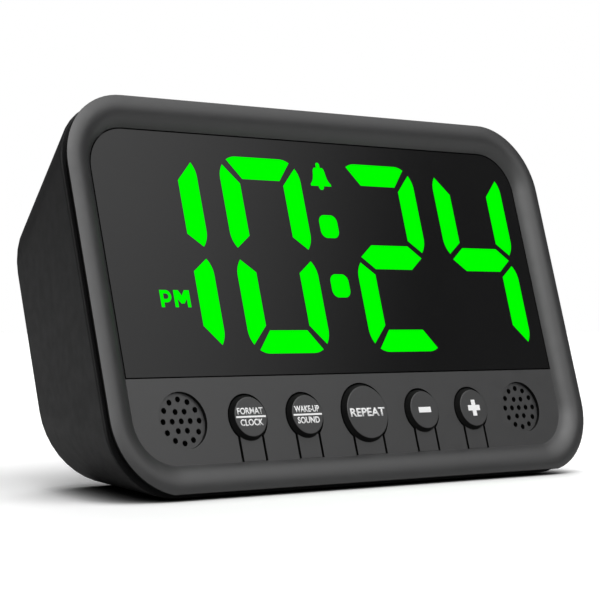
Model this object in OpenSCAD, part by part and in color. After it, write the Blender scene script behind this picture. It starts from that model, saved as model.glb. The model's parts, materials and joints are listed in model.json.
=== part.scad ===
// Bedside alarm clock with four large lit digits, a control strip of five
// sprung keys, two sound grilles and a tapered rear housing.
// Units are millimetres, +Z is up, and the clock looks along -Y.
// Most pieces are drawn flat in the face's own frame: x across the face,
// y up the face and z out of it, with z = 0 on the display's surface
// and y = 0 on the seam between the display and the control strip.

/* [Face] */
// Width of the display opening
window_w = 130.4; // [117:0.1:150]
// Height of the display opening
window_h = 56.4; // [50.6:0.1:66]
// Corner radius of the face inside the rim
window_r = 10; // [8:0.5:11]
// Height of the control strip below the display
strip_h = 18.9; // [18.2:0.1:24]
// Thickness of the front moulding's plate
strip_t = 2; // [1.8:0.1:2.4]
// Width of the rounded rim
rim_w = 6.87; // [6.6:0.01:9]
// How much narrower the rim is along the bottom
rim_trim = 0.4; // [0:0.05:0.8]
// How far the rim's outer edge stands in front of the display
rim_edge = 1.84; // [1.2:0.02:2.2]
// Radius of the rim's rounded front
rim_round = 5.4; // [4.8:0.1:8]
// Backward tilt of the face, in degrees
face_tilt = 16; // [12:0.5:20]
// Gap under the rim's lowest edge
rim_lift = 1.5; // [1.4:0.1:4]

/* [Display] */
// Thickness of the display panel
panel_t = 1.6; // [1.2:0.1:2]
// Gap between the display panel and its opening
panel_gap = 0.3; // [0.15:0.05:0.5]
// Thickness of the adhesive frame behind the panel
tape_t = 0.2; // [0.1:0.05:0.4]
// Width of the ledge that carries the panel
ledge_w = 2.5; // [1.8:0.1:3]
// Thickness of that ledge
ledge_t = 1.2; // [0.8:0.1:2]
// Gap between the digits and the sides of the opening
digit_side_gap = 4.75; // [3.5:0.05:6]
// Gap between the digits and the top of the opening
digit_top_gap = 5; // [4.6:0.1:7]
// Gap between the digits of a pair
digit_gap = 6.6; // [5:0.1:8]
// Gap between the pairs, which holds the colon
pair_gap = 12.5; // [11:0.1:14]
// Width of an upright stroke
stroke = 5.5; // [4.8:0.1:6]
// Height of a flat stroke
bar_t = 5.35; // [4.8:0.05:6]
// Sideways offset of the digits on the panel
digit_x = 0.1; // [0:0.1:0.6]
// Height of the digits' lower edge above the seam
digit_y = 5.1; // [4.6:0.1:5.4]
// Side of a colon dot
colon_side = 5.6; // [4:0.1:6]
// Distance between the colon dots
colon_pitch = 14.4; // [12:0.1:16]
// Height of the alarm bell sign
bell_h = 6.75; // [5:0.05:7.4]
// Height of the afternoon sign's letters
pm_h = 3.85; // [3:0.05:4.4]
// Depth of the light box behind the panel
light_box_t = 7.4; // [6.6:0.1:9]

/* [Keys] */
// How far the keys and grilles stand above the middle of the strip
key_rise = 0.2; // [0:0.05:0.25]
// Distance between a grille and the key beside it
key_to_grille = 17.55; // [16.8:0.05:18.5]
// Share of the outer keys' distance from the middle at which the inner keys stand
inner_key_share = 0.526; // [0.51:0.002:0.54]
// Diameter of a small key's cap at its foot
small_cap_d = 10.2; // [8.8:0.1:10.4]
// Diameter of the middle key's cap at its foot
large_cap_d = 13.6; // [12.3:0.1:13.8]
// Height of a cap above the strip
cap_h = 1.15; // [0.8:0.05:2.2]
// How far a cap's side leans in
cap_taper = 0.6; // [0.2:0.05:0.8]
// Radius of a cap's front edge
cap_round = 0.25; // [0.15:0.05:0.6]
// Gap around a cap
cap_gap = 0.35; // [0.3:0.05:0.8]
// Width of a small key's tongue
small_tongue_w = 6; // [5:0.1:7]
// Width of the middle key's tongue
large_tongue_w = 8.4; // [7:0.1:9]
// Width of the slit beside a tongue
slit = 0.65; // [0.4:0.05:0.8]
// Thickness of a key behind its cap
key_t = 1.5; // [1.2:0.1:2]
// Thickness of the thin web at a tongue's root
web_t = 0.5; // [0.4:0.05:0.8]
// Travel of a cap when pressed
key_travel = 0.6; // [0.3:0.05:0.8]
// Side of a key switch's square body
switch_side = 6; // [5:0.1:6.4]
// Diameter of a switch's plunger
plunger_d = 3.3; // [2.6:0.1:3.6]

/* [Sound] */
// Distance of a grille's centre from the side of the strip
grille_edge = 13.3; // [12.8:0.1:14]
// Diameter of a grille's dish
grille_d = 12.6; // [11.8:0.1:13.5]
// Depth of a grille's dish
grille_depth = 0.8; // [0.3:0.05:1]
// Width of the slope at a dish's edge
dish_slope = 0.1; // [0:0.05:0.5]
// Diameter of a sound hole
sound_hole_d = 1.3; // [0.8:0.05:1.4]
// Distance between rings of sound holes
sound_ring = 2.4; // [2:0.05:2.5]
// Diameter of a speaker
speaker_d = 15; // [14.4:0.1:15.4]
// Height of a speaker's basket
basket_h = 2.8; // [2.4:0.1:3.4]
// Height of a speaker's magnet
magnet_h = 2.2; // [1.6:0.1:2.8]

/* [Rear housing] */
// Depth from the display's surface to the back
body_depth = 42.1; // [40:0.1:52]
// Wall of the rear housing
shell_wall = 2.2; // [1.8:0.1:2.6]
// How far the housing's sides stand in behind the rim's edge
side_inset = 1.15; // [0.9:0.05:1.4]
// How far the housing's top stands in below the rim's edge
top_inset = 0.55; // [0.3:0.05:0.9]
// Slope of the housing's sides, in degrees
side_taper = 16; // [13:0.5:17]
// Slope of the housing's top, in degrees
top_taper = 13.8; // [10:0.2:16]
// Corner radius of the housing behind the rim
front_corner_r = 15; // [13:0.5:17]
// Corner radius of the housing's back
rear_corner_r = 17.6; // [14:0.1:20]
// Rounding of the housing's back edge
rear_edge_r = 1.6; // [1:0.1:2]
// Diameter of a foot
foot_d = 9; // [7:0.5:10]
// Thickness of a foot
foot_t = 1.4; // [1:0.1:1.6]
// How far a foot stands below the housing
foot_proud = 0.4; // [0.3:0.05:0.6]

/* [Battery bay] */
// Height of the battery door
door_h = 27; // [26:0.5:30]
// Thickness of the battery door
door_t = 1.8; // [1.4:0.1:2]
// Height of the door's middle above the seam
door_y = 18; // [17:0.5:20]
// Gap around the door
door_gap = 0.3; // [0.2:0.05:0.5]
// Diameter of a battery cell
cell_d = 10.3; // [9.8:0.1:10.5]
// Length of a battery cell with its nub
cell_l = 44.5; // [42:0.1:47]
// Room for the contacts at each end of a cell
end_room = 5.75; // [4.5:0.05:7]
// Thickness of the bay's walls
bay_wall = 1.5; // [1.2:0.1:2]

/* [Power and radio] */
// Sideways place of the power socket
socket_x = 44; // [42:0.5:46]
// Height of the power socket above the seam
socket_y = 16; // [12:0.5:20]
// Bore of the power socket
socket_d = 5.7; // [5:0.1:6]
// Diameter of the power socket's pin
socket_pin_d = 2; // [1.6:0.1:2.4]
// Diameter of the ferrite aerial rod
rod_d = 6; // [5:0.5:8]
// Length of the ferrite aerial rod
rod_l = 56; // [50:1:60]
// Height of the rod above the seam
rod_y = 43; // [42:0.5:44]
// Length of the aerial winding
winding_l = 18; // [12:1:26]

/* [Fasteners] */
// Thickness of the main board
board_t = 1.6; // [1.2:0.1:2]
// Diameter of a housing screw
housing_screw_d = 3; // [2.5:0.1:3.2]
// Diameter of a board screw
board_screw_d = 2.2; // [2:0.1:2.4]
// Distance between a grille and the screws beside it
screw_to_grille = 9.7; // [9.6:0.05:9.8]
// Distance of the upper board screws from the sides of the opening
upper_screw_in = 32; // [28:0.5:36]

/* [Hidden] */
$fn = 48;
hull_fn = 40;
tiny = 0.01;
fit_gap = 0.1;
deep = 60;
over = 1;

face_h = window_h + strip_h;
face_mid = (window_h - strip_h) / 2;
key_y = -strip_h / 2 + key_rise;
plate_back = -strip_t;

// The rim's front is an arc from the face's edge to the rim's outer edge.
rim_chord = norm([rim_w, rim_edge]);
rim_drop = sqrt(pow(rim_round, 2) - pow(rim_chord / 2, 2));
rim_c = [rim_w / 2 + rim_drop * rim_edge / rim_chord, rim_edge / 2 - rim_drop * rim_w / rim_chord];
neck_w = 4.7;
neck_z = 0.5;
lip_t = 0.35;

skirt_in = 0.9;
skirt_t = 1.4;
skirt_depth = 3;

ledge_back = -panel_t - tape_t - ledge_t;
box_front = -panel_t - fit_gap;
board_front = box_front - light_box_t;
board_back = board_front - board_t;
board_side_gap = 3;
board_edge_x = window_w / 2 - board_side_gap;
board_over = 1.5;
board_under = 0.2;
board_top = window_h + board_over;
board_bottom = -strip_h - board_under;
board_r = 11.5;
screw_room = 0.4;
screw_tip = plate_back - 1;

// The housing's outline tapers with depth and its bottom lies level.
face_z = (strip_h + rim_w - rim_trim) * cos(face_tilt) - rim_edge * sin(face_tilt) + rim_lift;
shell_front = plate_back - tiny;
shell_round = 0.7;
shell_x = window_w / 2 + rim_w - side_inset;
shell_top = window_h + rim_w - top_inset;
function taper_x(z) = shell_x + (z - shell_front + shell_round) * tan(side_taper);
function taper_top(z) = shell_top + (z - shell_front + shell_round) * tan(top_taper);
function level_y(height, z) = (height - face_z - z * sin(face_tilt)) / cos(face_tilt);
function corner_r(z) = front_corner_r + (rear_corner_r - front_corner_r) * z / -body_depth;
back_z = -body_depth;
back_inner = back_z + shell_wall;

// The origin is under the middle of the whole clock.
front_y = -(strip_h + rim_c[0]) * sin(face_tilt) - rim_c[1] * cos(face_tilt) - rim_round;
rear_y = (taper_top(back_z) - rear_edge_r) * sin(face_tilt) + body_depth * cos(face_tilt);
face_y = -(front_y + rear_y) / 2;

digit_w = (window_w - 2 * digit_side_gap - 2 * digit_gap - pair_gap) / 4;
digit_h = window_h - digit_y - digit_top_gap;
digit_pitch = digit_w + digit_gap;
pair_pitch = digit_w + pair_gap;
digit_mid = digit_y + digit_h / 2;
digit_lefts = [
    digit_x - pair_pitch / 2 - digit_pitch - digit_w / 2,
    digit_x - pair_pitch / 2 - digit_w / 2,
    digit_x + pair_pitch / 2 - digit_w / 2,
    digit_x + pair_pitch / 2 + digit_pitch - digit_w / 2
];
SEGMENTS = ["a", "b", "c", "d", "e", "f", "g"];
LIT = [["b", "c"], ["a", "b", "c", "d", "e", "f"], ["a", "b", "g", "e", "d"], ["f", "g", "b", "c"]];
stroke_round = 5.5;
round_more = 0.35;
// Distances of the mitres from a digit's ends, sides or middle, at the strokes' outer and inner edges.
upright_end = [0.9, 6.45];
upright_mid = [0.3, 4.3];
bar_end = [1.9, 6.4];
middle_tip = 2.1;
middle_mitre = 3.9;
middle_more = 0.2;
colon_r = 1.8;
bell_w = 6.3;
bell_x = digit_x - bell_w / 2;
bell_drop = 0.2;
bell_y = digit_y + digit_h - bell_h - bell_drop;
pm_w = 8;
pm_share = 0.271;
pm_x = digit_lefts[0] + (digit_w - pm_w) / 2;
pm_y = digit_y + digit_h * pm_share - pm_h / 2;
pen_w = 0.23 * pm_h;
pen_t = 0.2 * pm_h;
bowl_r = 0.36 * pm_h;
p_w = 0.375 * pm_w;
m_w = 0.535 * pm_w;
// Right edge of the bell from its lip to its shoulder, as shares of its half width and of its height.
BELL = [
    [1, 0.14], [0.99, 0.21], [0.8, 0.31], [0.7, 0.4],
    [0.62, 0.54], [0.57, 0.68], [0.52, 0.75], [0.4, 0.81]
];
led_size = [1.6, 0.8, 0.6];

grille_x = window_w / 2 - grille_edge;
outer_key_x = grille_x - key_to_grille;
inner_key_x = outer_key_x * inner_key_share;
KEY_X = [-outer_key_x, -inner_key_x, 0, inner_key_x, outer_key_x];
root_gap = 0.05;
root_y = -strip_h + 1.5 * root_gap;
web_l = 1;
switch_h = 3.4;
plunger_h = 1.5;
plunger_stay = 0.8;
plunger_fit = 0.15;
switch_front = board_front + switch_h;
plunger_front = switch_front + plunger_h;
post_d = 3;
post_gap = 0.12;
bore_room = 0.2;

speaker_wall = 1;
speaker_fit = 0.15;
ring_short = 0.3;
basket_wall = 1;
basket_back = plate_back - basket_h;
basket_ledge = 0.6;
magnet_d = 7;
magnet_room = 0.3;
magnet_back = max(basket_back - magnet_h, board_front + magnet_room);
cone_t = 0.25;
cone_floor = 0.3;
cone_rise = 1;
cone_flange = 1;
terminal_d = 0.8;
terminal_x = 5.2;

boss_r = 2;
upper_screw_x = window_w / 2 - upper_screw_in;
upper_screw_drop = 0.8;
upper_screw_y = window_h - upper_screw_drop;
lower_screw_x = grille_x - screw_to_grille;
lower_screw_drop = 5.1;
housing_screw_rise = 5.8;
board_boss = [
    [-upper_screw_x, upper_screw_y], [upper_screw_x, upper_screw_y],
    [-lower_screw_x, key_y - lower_screw_drop], [lower_screw_x, key_y - lower_screw_drop]
];
board_head_d = 4.2;
board_head_t = 1.6;
housing_boss = [for (side = [-1, 1]) [side * lower_screw_x, key_y + housing_screw_rise]];
housing_boss_r = 2.4;
housing_head_d = 5.4;
housing_head_t = 2.2;
well_room = 0.5;
well_d = housing_head_d + 2 * well_room;
well_floor = -30;
column_wall = 1.1;
column_r = well_d / 2 + column_wall;

hook_x = 30;
hook_w = 10;
hook_l = 5.4;
hook_end = ledge_back - hook_l;
barb_h = 0.9;
barb_l = 1.2;
barb_run = 1.7;
hook_room = 0.5;
pocket_room = 0.3;
pocket_drop = 3;

tab_w = 8;
tab_x = 16;
tab_l = 2;
tab_t = 1.2;
tab_fit = 0.15;
door_w = cell_l + 2 * end_room;
door_low = door_y - door_h / 2;
door_high = door_y + door_h / 2;
bay_more = 0.6;
bay_low = door_low - door_gap - tab_l - bay_more;
bay_high = door_high + door_gap;
bay_x = door_w / 2 + door_gap;
cell_gap = 0.4;
cell_z = back_z + door_t + cell_gap + cell_d / 2;
bay_floor = cell_z + cell_d / 2;
cell_space = 0.9;
cell_pitch = cell_d + cell_space;
nub_d = 3.8;
nub_l = 1;
contact_t = 0.5;
contact_w = 8;
contact_x = bay_x - contact_t;
bump_l = contact_x - cell_l / 2;
notch_d = 9;
notch_depth = 1;
stop = 1.2;
solder_tab_w = 3;
solder_tab_l = 2;
lead_d = 1.2;
bend_d = 1.3;
lead_rise = 3;
lead_shift = 4;

nose_wall = 1.1;
socket_nose_d = socket_d + 2 * nose_wall;
socket_body = 9.6;
socket_l = 10;
socket_wall = 1.2;
socket_floor = 2;
pin_recess = 1;
socket_inner = back_inner + socket_l;
saddle_x = 22;
saddle_t = 3;
rod_z = -22;
saddle_more = 3;
saddle_h = rod_d + saddle_more;
winding_t = 1.2;
receiver_size = [18, 12, 1];
receiver_at = [-38, 26];
header_size = [14, 2.5, 3];
chip_size = [14, 14, 1.6];
chip_at = [0, 34];
capacitor_d = 6.3;
capacitor_l = 7;
capacitor_at = [24, 40];
crystal_d = 3;
crystal_l = 8;
crystal_at = [-14, 26];

bottom_back = level_y(foot_proud, back_z) * sin(face_tilt) + body_depth * cos(face_tilt);
foot_margin = 1;
front_foot_in = 17;
front_foot_y = 2;
rear_foot_in = 29;
foot_front = [window_w / 2 - front_foot_in, front_foot_y];
foot_rear = [window_w / 2 - rear_foot_in, bottom_back - rear_edge_r - foot_d / 2 - foot_margin];

// Places its children from the face's frame onto the standing clock.
module on_face() {
    translate([0, face_y, face_z]) rotate([90 - face_tilt, 0, 0]) children();
}

// Draws a rounded rectangle between two corners.
module round_box(low, high, r) {
    translate([low[0] + r, low[1]]) square([high[0] - low[0] - 2 * r, high[1] - low[1]]);
    translate([low[0], low[1] + r]) square([high[0] - low[0], high[1] - low[1] - 2 * r]);
    for (x = [low[0] + r, high[0] - r], y = [low[1] + r, high[1] - r]) {
        translate([x, y]) circle(r);
    }
}

// Outline of the whole face inside the rim, grown by an offset.
module face_outline(grow) {
    half = window_w / 2 + grow;
    round_box([-half, -strip_h - grow], [half, window_h + grow], window_r + grow);
}

// Outline of the display opening, which is square at the control strip.
module window_outline(inset) {
    intersection() {
        face_outline(-inset);
        translate([-window_w, inset]) square(2 * window_w);
    }
}

// Extrudes its flat children from one depth to another.
module slab(from, to) {
    translate([0, 0, from]) linear_extrude(to - from) children();
}

// Cylinder from one depth to another at a place on the face.
module post(at, d, from, to) {
    translate([at[0], at[1], from]) cylinder(d = d, h = to - from);
}

// Sweeps its flat children, drawn outwards from the face's edge, round the face.
module round_the_face() {
    for (i = [0:3]) {
        across = i % 2 == 0;
        half = (across ? window_w : face_h) / 2;
        run = (across ? face_h : window_w) - 2 * window_r;
        translate([0, face_mid, 0]) rotate([0, 0, 90 * i]) {
            translate([half, run / 2, 0]) rotate([90, 0, 0]) linear_extrude(run) children();
            translate([half - window_r, run / 2, 0]) rotate_extrude(angle = 90)
                translate([window_r, 0]) children();
        }
    }
}

// Section of the rim: a rounded front, a sharp outer edge and a neck behind it.
module rim_section() {
    intersection() {
        translate(rim_c) circle(rim_round, $fn = 96);
        polygon([
            [0, plate_back], [neck_w, plate_back], [neck_w, neck_z],
            [rim_w, rim_edge - lip_t], [rim_w, rim_round], [0, rim_round]
        ]);
    }
}

// Opening for one key: a round hole with a slot down to the tongue's root.
module key_opening(x, cap_d, tongue_w) {
    low = root_y - root_gap;
    slab(plate_back - over, over) {
        translate([x, key_y]) circle(d = cap_d + 2 * cap_gap);
        translate([x - tongue_w / 2 - slit, low]) square([tongue_w + 2 * slit, key_y - low]);
    }
}

// Dish and rings of holes in front of one speaker.
module grille_cut(x) {
    translate([x, key_y, 0]) {
        translate([0, 0, -grille_depth])
            cylinder(d1 = grille_d - 2 * dish_slope, d2 = grille_d, h = grille_depth + tiny);
        slab(plate_back - over, over) {
            circle(d = sound_hole_d);
            for (ring = [1, 2], i = [0:6 * ring - 1]) {
                rotate(60 * i / ring) translate([ring * sound_ring, 0]) circle(d = sound_hole_d);
            }
        }
    }
}

// Wall that centres one speaker behind its grille.
module speaker_wall_ring(x) {
    inner = speaker_d / 2 + speaker_fit;
    translate([x, key_y, 0]) slab(basket_back + ring_short, plate_back) difference() {
        circle(inner + speaker_wall);
        circle(inner);
    }
}

// Snap hook at the top of the front moulding.
module snap_hook(x) {
    low = window_h + skirt_in;
    translate([x - hook_w / 2, low, hook_end]) cube([hook_w, skirt_t, plate_back - hook_end]);
    translate([x - hook_w / 2, low, 0]) rotate([90, 0, 90]) linear_extrude(hook_w) polygon([
        [0, hook_end], [skirt_t + barb_h, hook_end + barb_l],
        [skirt_t, hook_end + barb_run], [0, hook_end + barb_run]
    ]);
}

module front_bezel() {
    color("#4a4a4b") on_face() difference() {
        union() {
            difference() {
                round_the_face() rim_section();
                translate([-window_w, -strip_h - rim_w, plate_back - over])
                    cube([2 * window_w, rim_trim, deep]);
            }
            slab(plate_back, 0) face_outline(over);
            slab(ledge_back, plate_back + tiny) difference() {
                window_outline(-skirt_in - skirt_t / 2);
                window_outline(ledge_w);
            }
            slab(plate_back - skirt_depth, plate_back) difference() {
                face_outline(skirt_in + skirt_t);
                face_outline(skirt_in);
            }
            for (side = [-1, 1]) {
                speaker_wall_ring(side * grille_x);
                snap_hook(side * hook_x);
            }
            for (at = board_boss) post(at, 2 * boss_r, board_front, plate_back);
            for (at = housing_boss) post(at, 2 * housing_boss_r, board_front, plate_back);
        }
        slab(-panel_t - tape_t, rim_round) window_outline(0);
        slab(ledge_back - deep, 0) window_outline(ledge_w);
        for (i = [0:4]) {
            cap_d = i == 2 ? large_cap_d : small_cap_d;
            key_opening(KEY_X[i], cap_d, i == 2 ? large_tongue_w : small_tongue_w);
        }
        for (side = [-1, 1]) grille_cut(side * grille_x);
        for (at = board_boss) {
            post(at, board_screw_d + fit_gap, board_front - over, screw_tip + fit_gap);
        }
        for (at = housing_boss) {
            post(at, housing_screw_d + fit_gap, board_front - over, screw_tip + fit_gap);
        }
    }
}

// Four thin discs at the corners of the housing's outline at one depth.
module shell_slice(z, inset, floor_height) {
    r = corner_r(z) - inset;
    x = taper_x(z) - inset - r;
    top = taper_top(z) - inset - r;
    low = level_y(floor_height, z) + r;
    for (side = [-1, 1], y = [low, top]) {
        translate([side * x, y, z]) cylinder(r = r, h = tiny, $fn = hull_fn);
    }
}

// Solid of the housing's outside, with rounded front and back edges.
module shell_outside() {
    hull() {
        for (turn = [0:30:90]) {
            edge = 1 - cos(turn);
            shell_slice(shell_front - shell_round * edge, shell_round * (1 - sin(turn)), foot_proud);
            shell_slice(back_z + rear_edge_r * edge, rear_edge_r * (1 - sin(turn)), foot_proud);
        }
    }
}

// Solid of the housing's hollow, open at the front.
module shell_inside() {
    hull() {
        shell_slice(shell_front + over, shell_wall / cos(side_taper), foot_proud + shell_wall);
        shell_slice(back_inner, shell_wall / cos(side_taper), foot_proud + shell_wall);
    }
}

// Box of the battery bay from one depth inwards, grown by an offset on its sides and floor.
module bay_block(from, grow) {
    low = [-bay_x - grow, bay_low - grow];
    translate([low[0], low[1], from])
        cube([2 * (bay_x + grow), bay_high - bay_low + 2 * grow, bay_floor + grow - from]);
}

// Stops inside the bay's sides that carry the closed door.
module door_stops() {
    for (side = [-1, 1]) {
        translate([side * (bay_x - stop / 2), door_y, back_z + door_t + fit_gap + stop / 2])
            cube([stop, door_h / 2, stop], center = true);
    }
}

// Walls that hold the power socket on both sides.
module socket_cheeks() {
    for (side = [-1, 1]) {
        x = socket_x + side * (socket_body / 2 + fit_gap + socket_wall / 2);
        translate([x, socket_y, (back_inner - tiny + socket_inner) / 2])
            cube([socket_wall, socket_body, socket_inner - back_inner + 2 * tiny], center = true);
    }
}

// Uprights that cradle the aerial rod.
module rod_saddles() {
    for (side = [-1, 1]) {
        translate([side * saddle_x - saddle_t / 2, rod_y - saddle_h / 2, back_inner - tiny])
            cube([saddle_t, saddle_h, rod_z - back_inner + tiny]);
    }
}

// Lying cylinder across the clock, centred at a place in the face's frame.
module lying(at, d, l) {
    translate(at) rotate([0, 90, 0]) cylinder(d = d, h = l, center = true);
}

// Pockets in the housing's top wall for the front moulding's hooks.
module hook_pockets() {
    pocket_h = pocket_drop + skirt_in + skirt_t + barb_h + pocket_room;
    for (side = [-1, 1]) {
        translate([side * hook_x - hook_w / 2 - hook_room, window_h - pocket_drop, hook_end - pocket_room])
            cube([hook_w + 2 * hook_room, pocket_h, barb_run + 2 * pocket_room]);
    }
}

module foot_places() {
    for (side = [-1, 1], at = [foot_front, foot_rear]) {
        translate([side * at[0], face_y + at[1], 0]) children();
    }
}

module rear_housing() {
    color("#38383a") difference() {
        on_face() difference() {
            union() {
                difference() {
                    shell_outside();
                    shell_inside();
                }
                bay_block(back_z + shell_wall / 2, bay_wall);
                for (at = housing_boss) post(at, 2 * column_r, back_inner - tiny, board_back - fit_gap / 2);
                socket_cheeks();
                rod_saddles();
            }
            difference() {
                union() {
                    bay_block(back_inner, 0);
                    translate([-bay_x, door_low - door_gap, back_z - over])
                        cube([2 * bay_x, door_h + 2 * door_gap, over + shell_wall + tiny]);
                }
                door_stops();
            }
            for (at = housing_boss) {
                post(at, well_d, back_z - over, well_floor);
                post(at, housing_screw_d + screw_room, well_floor - over, board_back + over);
            }
            post([socket_x, socket_y], socket_nose_d + 2 * fit_gap, back_z - over, back_inner + tiny);
            lying([0, rod_y, rod_z], rod_d + fit_gap, rod_l);
            contact_slots();
            hook_pockets();
        }
        foot_places() cylinder(d = foot_d + 2 * fit_gap, h = foot_t);
    }
}

// Slits in the bay's floor for the contacts' solder tabs.
module contact_slots() {
    for (at = solder_tabs()) {
        translate([at[0], at[1], bay_floor + bay_wall / 2])
            cube([contact_t + 2 * fit_gap, solder_tab_w + 2 * fit_gap, 2 * bay_wall], center = true);
    }
}

// Middles of the two solder tabs, both at the bay's right end.
function solder_tabs() = [for (side = [-1, 1]) [contact_x + contact_t / 2, door_y + side * cell_pitch / 2]];

// Flat stroke at the top of a digit, between the mitres of its uprights.
module bar_shape() {
    top = digit_h / 2;
    intersection() {
        polygon([
            [bar_end[1], top - bar_t], [digit_w - bar_end[1], top - bar_t],
            [digit_w - bar_end[0], top], [bar_end[0], top]
        ]);
        round_box([0, 0], [digit_w, top], stroke_round);
    }
}

// Upright stroke at the left of a digit's upper half.
module upright_shape() {
    top = digit_h / 2;
    intersection() {
        polygon([
            [0, upright_mid[0]], [stroke, upright_mid[1]],
            [stroke, top - upright_end[1]], [0, top - upright_end[0]]
        ]);
        round_box([0, -round_more], [digit_w, top], stroke_round);
    }
}

// Six-sided stroke across the middle of a digit.
module middle_shape() {
    flat = middle_tip + middle_mitre;
    top = stroke / 2 + middle_more;
    polygon([
        [middle_tip, 0], [flat, top], [digit_w - flat, top],
        [digit_w - middle_tip, 0], [digit_w - flat, -top], [flat, -top]
    ]);
}

// Middle of a named segment, from the middle of its digit.
function segment_at(name) =
    let (side = (digit_w - stroke) / 2, rise = digit_h / 4, bar = (digit_h - bar_t) / 2)
    name == "a" ? [0, bar] :
    name == "d" ? [0, -bar] :
    name == "g" ? [0, 0] :
    [name == "b" || name == "c" ? side : -side, name == "b" || name == "f" ? rise : -rise];

// Flat shape of a named segment of one digit.
module segment(digit, name) {
    lower = name == "c" || name == "d" || name == "e";
    right = name == "b" || name == "c";
    translate([digit_lefts[digit] + digit_w / 2, digit_mid])
        mirror([0, lower ? 1 : 0]) mirror([right ? 1 : 0, 0]) translate([-digit_w / 2, 0]) {
            if (name == "a" || name == "d") bar_shape();
            else if (name == "g") middle_shape();
            else upright_shape();
        }
}

function is_lit(digit, name) = len([for (s = LIT[digit]) if (s == name) s]) > 0;

module colon_shape() {
    for (side = [-1, 1]) {
        at = [digit_x - colon_side / 2, digit_mid - colon_side / 2 + side * colon_pitch / 2];
        translate(at) round_box([0, 0], [colon_side, colon_side], colon_r);
    }
}

// Plain alarm bell with a knob, a flared lip and a clapper.
module bell_shape() {
    half = bell_w / 2;
    knob = bell_h * 0.086;
    clapper = bell_h * 0.118;
    right = [for (at = BELL) [at[0] * half, at[1] * bell_h]];
    left = [for (i = [len(BELL) - 1:-1:0]) [-right[i][0], right[i][1]]];
    translate([bell_x + half, bell_y]) {
        polygon(concat(right, left));
        translate([-knob, bell_h / 2]) square([2 * knob, bell_h / 2 - knob]);
        translate([0, bell_h - knob]) circle(knob);
        translate([0, clapper]) circle(clapper);
    }
}

// Eye of the letter P, a dark piece within the lit sign.
module p_eye() {
    translate([pm_x, pm_y + pm_h - 2 * bowl_r]) {
        translate([pen_w, pen_t]) square([p_w - bowl_r - pen_w, 2 * (bowl_r - pen_t)]);
        translate([p_w - bowl_r, bowl_r]) circle(bowl_r - pen_t);
    }
}

// The letters P and M in plain strokes.
module pm_shape() {
    dip = pm_h * 0.22;
    fork = pm_h * 0.5;
    notch = pm_h * 0.68;
    shoulder = pen_w * 1.5;
    difference() {
        translate([pm_x, pm_y]) {
            square([pen_w, pm_h]);
            translate([0, pm_h - 2 * bowl_r]) square([p_w - bowl_r, 2 * bowl_r]);
            translate([p_w - bowl_r, pm_h - bowl_r]) circle(bowl_r);
        }
        p_eye();
    }
    translate([pm_x + pm_w - m_w, pm_y]) polygon([
        [0, 0], [pen_w, 0], [pen_w, fork], [(m_w - pen_w) / 2, dip], [(m_w + pen_w) / 2, dip],
        [m_w - pen_w, fork], [m_w - pen_w, 0], [m_w, 0], [m_w, pm_h], [m_w - shoulder, pm_h],
        [m_w / 2, notch], [shoulder, pm_h], [0, pm_h]
    ]);
}

// Every shape that shines through the panel.
module all_shapes() {
    for (digit = [0:3], name = SEGMENTS) segment(digit, name);
    colon_shape();
    bell_shape();
    pm_shape();
}

module display_panel() {
    color("#151617") on_face() slab(-panel_t, 0) difference() {
        window_outline(panel_gap);
        all_shapes();
        p_eye();
    }
}

module panel_tape() {
    color("#202020") on_face() slab(-panel_t - tape_t, -panel_t) difference() {
        window_outline(panel_gap);
        window_outline(ledge_w);
    }
}

// Light guides of one digit's lit segments.
module lit_digit(digit) {
    color("#00ff00") on_face() slab(-panel_t, 0) for (name = LIT[digit]) segment(digit, name);
}

module hour_tens() {
    lit_digit(0);
}

module hour_units() {
    lit_digit(1);
}

module minute_tens() {
    lit_digit(2);
}

module minute_units() {
    lit_digit(3);
}

module dark_segments() {
    color("#1a1c1b") on_face() slab(-panel_t, 0) {
        for (digit = [0:3], name = SEGMENTS) {
            if (!is_lit(digit, name)) segment(digit, name);
        }
        p_eye();
    }
}

module colon_dots() {
    color("#00ff00") on_face() slab(-panel_t, 0) colon_shape();
}

module bell_sign() {
    color("#00ff00") on_face() slab(-panel_t, 0) bell_shape();
}

module pm_sign() {
    color("#00ff00") on_face() slab(-panel_t, 0) pm_shape();
}

module light_box() {
    color("white") on_face() slab(board_front, box_front) difference() {
        window_outline(ledge_w + panel_gap);
        for (digit = [0:3], name = SEGMENTS) segment(digit, name);
        colon_shape();
        translate([bell_x, bell_y]) square([bell_w, bell_h]);
        translate([pm_x, pm_y]) square([pm_w, pm_h]);
    }
}

module main_board() {
    color("#1f5b3a") on_face() slab(board_back, board_front) difference() {
        round_box([-board_edge_x, board_bottom], [board_edge_x, board_top], board_r);
        for (at = board_boss) translate(at) circle(d = board_screw_d + screw_room);
        for (at = housing_boss) translate(at) circle(d = housing_screw_d + screw_room);
    }
}

// One lamp chip at the bottom of a light well.
module led(at) {
    translate([at[0], at[1], board_front + led_size[2] / 2]) cube(led_size, center = true);
}

module led_chips() {
    color("#e8e6c8") on_face() {
        for (digit = [0:3], name = SEGMENTS) {
            led([digit_lefts[digit] + digit_w / 2, digit_mid] + segment_at(name));
        }
        for (side = [-1, 1]) led([digit_x, digit_mid + side * colon_pitch / 2]);
        led([bell_x + bell_w / 2, bell_y + bell_h / 2]);
        led([pm_x + pm_w / 2, pm_y + pm_h / 2]);
    }
}

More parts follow.
